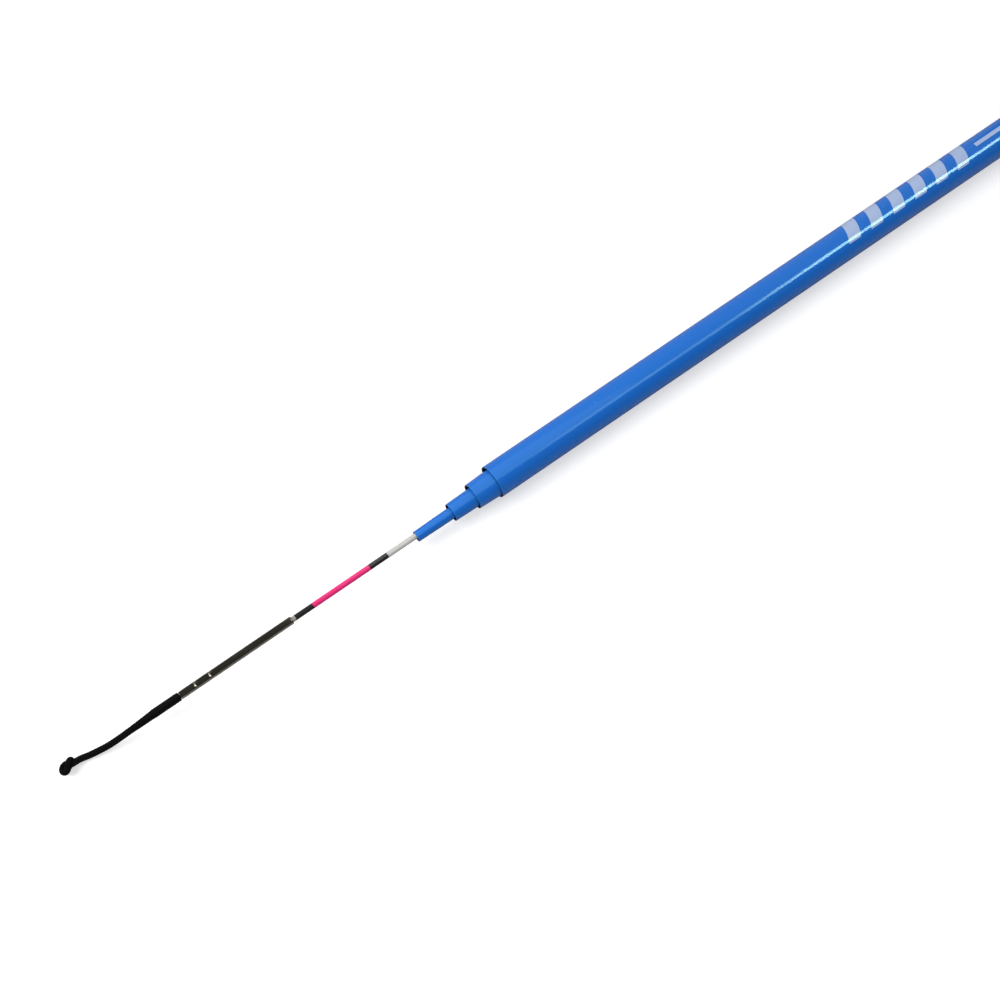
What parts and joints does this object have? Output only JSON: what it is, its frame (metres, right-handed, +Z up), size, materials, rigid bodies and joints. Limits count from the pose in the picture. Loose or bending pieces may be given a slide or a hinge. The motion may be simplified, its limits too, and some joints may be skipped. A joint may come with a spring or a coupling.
{
  "type": "telescopic fishing rod",
  "caption": "Stowed micro telescopic fishing rod: nested tapered tubes, painted solid tip, swivelling metal line holder with a short knotted braid, and a screw-in butt cap.",
  "frame": {"origin": "middle of the butt cap's flat end face, on the butt section's axis", "axes": "+X along the rod from butt to tip, +Z up, the rod lying along the ground"},
  "size_m": [0.3891, 0.0074, 0.0074],
  "materials": {
    "blue_paint": "glossy blue lacquer over a thin carbon tube, bare black at the ends",
    "tip_paint": "white lacquer with black and fluorescent pink bands",
    "polished_steel": "polished stainless tube, crimped twice",
    "brass": "turned brass",
    "anodised_aluminium": "black anodised, knurled rim",
    "rubber": "matt black rubber",
    "black_braid": "tight black braid, stiffened with glue at its root"
  },
  "bodies": {
    "butt": {"butt_section": "blue_paint", "butt_nut_ring": "brass"},
    "cap_axis": {"cap_seal": "rubber"},
    "cap": {"butt_cap": "anodised_aluminium", "cap_cushion": "rubber"},
    "second": {"section_2": "blue_paint"},
    "third": {"section_3": "blue_paint"},
    "fourth": {"section_4": "blue_paint"},
    "tip": {"tip_section": "tip_paint", "top_sleeve": "polished_steel", "spindle_bush": "brass"},
    "line_holder": {"top_spindle": "polished_steel", "lilian_root": "black_braid", "lilian_cord": "black_braid", "lilian_knot": "black_braid"}
  },
  "joints": [
    {"name": "section_2_slide", "type": "slide", "parent": "butt", "child": "second", "axis": [1, -0.0005, 0.0006], "range_m": [0, 0.2637]},
    {"name": "section_3_slide", "type": "slide", "parent": "second", "child": "third", "axis": [1, -0.0005, 0.0005], "range_m": [0, 0.268]},
    {"name": "section_4_slide", "type": "slide", "parent": "third", "child": "fourth", "axis": [1, -0.0002, 0.0003], "range_m": [0, 0.2727]},
    {"name": "tip_slide", "type": "slide", "parent": "fourth", "child": "tip", "axis": [1, 0.0004, -0.0005], "range_m": [0, 0.28]},
    {"name": "top_swivel", "type": "hinge", "parent": "tip", "child": "line_holder", "pos_m": [0.36745, 0.0002, -0.00024], "axis": [1, 0, 0], "continuous": true},
    {"name": "cap_travel", "type": "slide", "parent": "butt", "child": "cap_axis", "axis": [-1, 0, 0], "range_m": [0, 0.0045]},
    {"name": "cap_turn", "type": "hinge", "parent": "cap_axis", "child": "cap", "pos_m": [0, 0, 0], "axis": [-1, 0, 0], "range_deg": [0, 1297]}
  ],
  "couplings": [
    {"joint": "cap_turn", "follows": "cap_travel", "rad_per_m": 5026.5}
  ]
}
